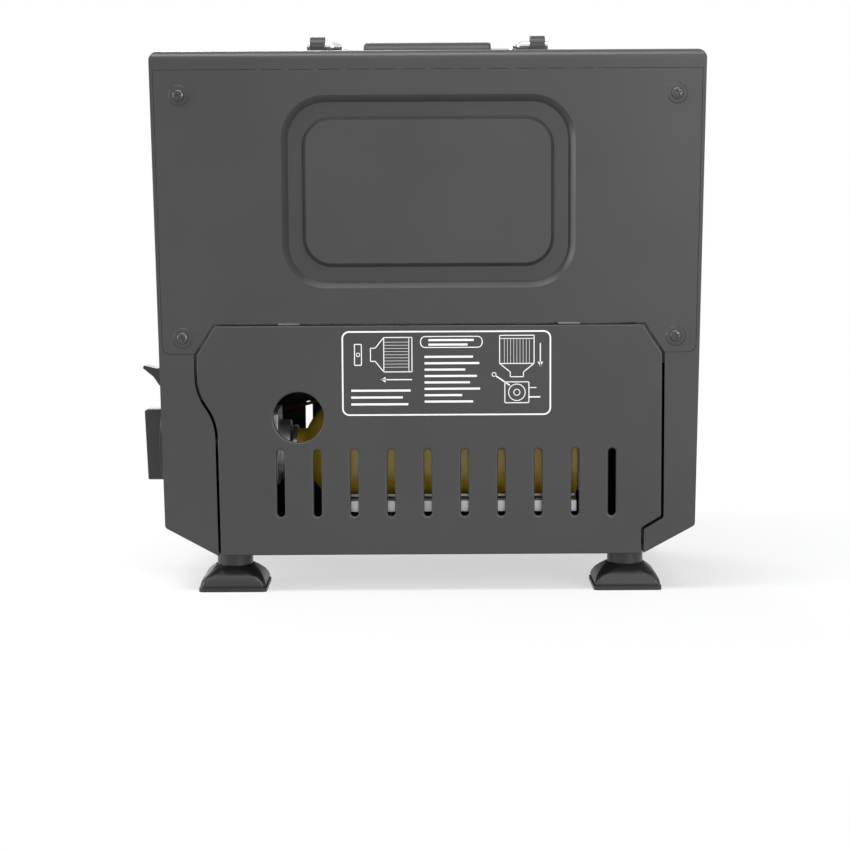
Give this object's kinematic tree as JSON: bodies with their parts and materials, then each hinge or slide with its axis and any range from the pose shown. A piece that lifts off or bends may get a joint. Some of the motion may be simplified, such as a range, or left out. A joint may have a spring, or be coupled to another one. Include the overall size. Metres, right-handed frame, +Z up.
{
  "type": "cassette gas heater",
  "caption": "Upright portable heater with a cartridge door at the back, a burner behind a wire guard, a side knob and lock lever, and a folding handle.",
  "frame": {"origin": "on the floor, under the middle of the object's box, knob included", "axes": "+Z up, -Y towards the front with the burner, +X towards the side with the knob"},
  "size_m": [0.3676, 0.1926, 0.361],
  "materials": {
    "case_paint": "satin black, fine grain",
    "knob_plastic": "matt black",
    "foot_rubber": "matt black",
    "foot_post": "satin black",
    "zinc_steel": "zinc plated",
    "bright_steel": "polished",
    "can_paint": "yellow gloss",
    "brass": "machined",
    "die_cast": "cast, matt",
    "ceramic": "porous, matt",
    "gasket": "felted fibre",
    "seal_rubber": "matt",
    "lead_skin": "silicone sleeve",
    "screw_black": "blackened"
  },
  "bodies": {
    "casing": {"base_plate": "case_paint", "burner_legs": "zinc_steel", "burner_plenum": "zinc_steel", "cartridge_cradle": "zinc_steel", "case_screws": "screw_black", "ceramic_plaque_left": "ceramic", "ceramic_plaque_right": "ceramic", "door_catches": "zinc_steel", "door_hinge_brackets": "zinc_steel", "door_hinge_pins": "zinc_steel", "foot_posts": "foot_post", "foot_shoe_front_left": "foot_rubber", "foot_shoe_front_right": "foot_rubber", "foot_shoe_rear_left": "foot_rubber", "foot_shoe_rear_right": "foot_rubber", "front_panel": "case_paint", "gas_injector": "brass", "gas_pipe": "zinc_steel", "handle_brackets": "knob_plastic", "heat_shield": "zinc_steel", "igniter_lead": "lead_skin", "inlet_seal": "seal_rubber", "inlet_socket": "die_cast", "lever_bracket": "zinc_steel", "lever_pin": "zinc_steel", "lid": "case_paint", "lid_clips": "zinc_steel", "piezo_igniter": "knob_plastic", "pipe_nuts": "brass", "plaque_frame": "zinc_steel", "plaque_gasket": "gasket", "rear_cover": "case_paint", "reflector": "bright_steel", "regulator_body": "die_cast", "regulator_bracket": "zinc_steel", "regulator_cap": "die_cast", "safety_valve": "brass", "side_panel_left": "case_paint", "side_panel_right": "case_paint", "spark_electrode": "zinc_steel", "spark_insulator": "ceramic", "thermocouple": "zinc_steel", "thermocouple_lead": "lead_skin", "tip_switch_box": "knob_plastic", "venturi": "zinc_steel", "wire_guard": "bright_steel"},
    "door": {"cartridge_door": "case_paint"},
    "lever": {"lock_lever": "zinc_steel", "lever_tab": "knob_plastic"},
    "yoke": {"lock_yoke": "zinc_steel"},
    "cartridge": {"cartridge_can": "can_paint", "cartridge_collar": "zinc_steel", "cartridge_stem": "brass"},
    "knob": {"control_knob": "knob_plastic", "control_shaft": "brass"},
    "needle": {"valve_needle": "brass"},
    "plunger": {"igniter_plunger": "zinc_steel"},
    "handle": {"handle_bail": "bright_steel", "handle_grip": "knob_plastic"},
    "pendulum": {"tilt_pendulum": "brass"}
  },
  "joints": [
    {"name": "door_hinge", "type": "hinge", "parent": "casing", "child": "door", "pos_m": [-0.00604, 0.09, 0.029], "axis": [-1, 0, 0], "range_deg": [0, 90]},
    {"name": "cartridge_slide", "type": "slide", "parent": "casing", "child": "cartridge", "axis": [1, 0, 0], "range_m": [0, 0.00486]},
    {"name": "lever_pivot", "type": "hinge", "parent": "casing", "child": "lever", "pos_m": [0.14396, 0.045, 0.128], "axis": [0, 1, 0], "range_deg": [0, 25]},
    {"name": "yoke_slide", "type": "slide", "parent": "casing", "child": "yoke", "axis": [1, 0, 0], "range_m": [0, 0.0049]},
    {"name": "knob_turn", "type": "hinge", "parent": "casing", "child": "knob", "pos_m": [0.17396, 0.035, 0.091], "axis": [1, 0, 0], "range_deg": [0, 125]},
    {"name": "needle_slide", "type": "slide", "parent": "casing", "child": "needle", "axis": [1, 0, 0], "range_m": [0, 0.0012]},
    {"name": "plunger_slide", "type": "slide", "parent": "casing", "child": "plunger", "axis": [-1, 0, 0], "range_m": [0, 0.004]},
    {"name": "handle_fold", "type": "hinge", "parent": "casing", "child": "handle", "pos_m": [-0.00604, 0.02, 0.354], "axis": [-1, 0, 0], "range_deg": [0, 90]},
    {"name": "pendulum_swing", "type": "hinge", "parent": "casing", "child": "pendulum", "pos_m": [-0.06604, -0.04, 0.0556], "axis": [0, 1, 0], "range_deg": [-8, 8]}
  ],
  "couplings": [
    {"joint": "yoke_slide", "follows": "cartridge_slide", "ratio": 1},
    {"joint": "lever_pivot", "follows": "cartridge_slide", "rad_per_m": 89.78},
    {"joint": "needle_slide", "follows": "knob_turn", "m_per_rad": 0.00055},
    {"joint": "plunger_slide", "follows": "knob_turn", "m_per_rad": 0.001833}
  ]
}
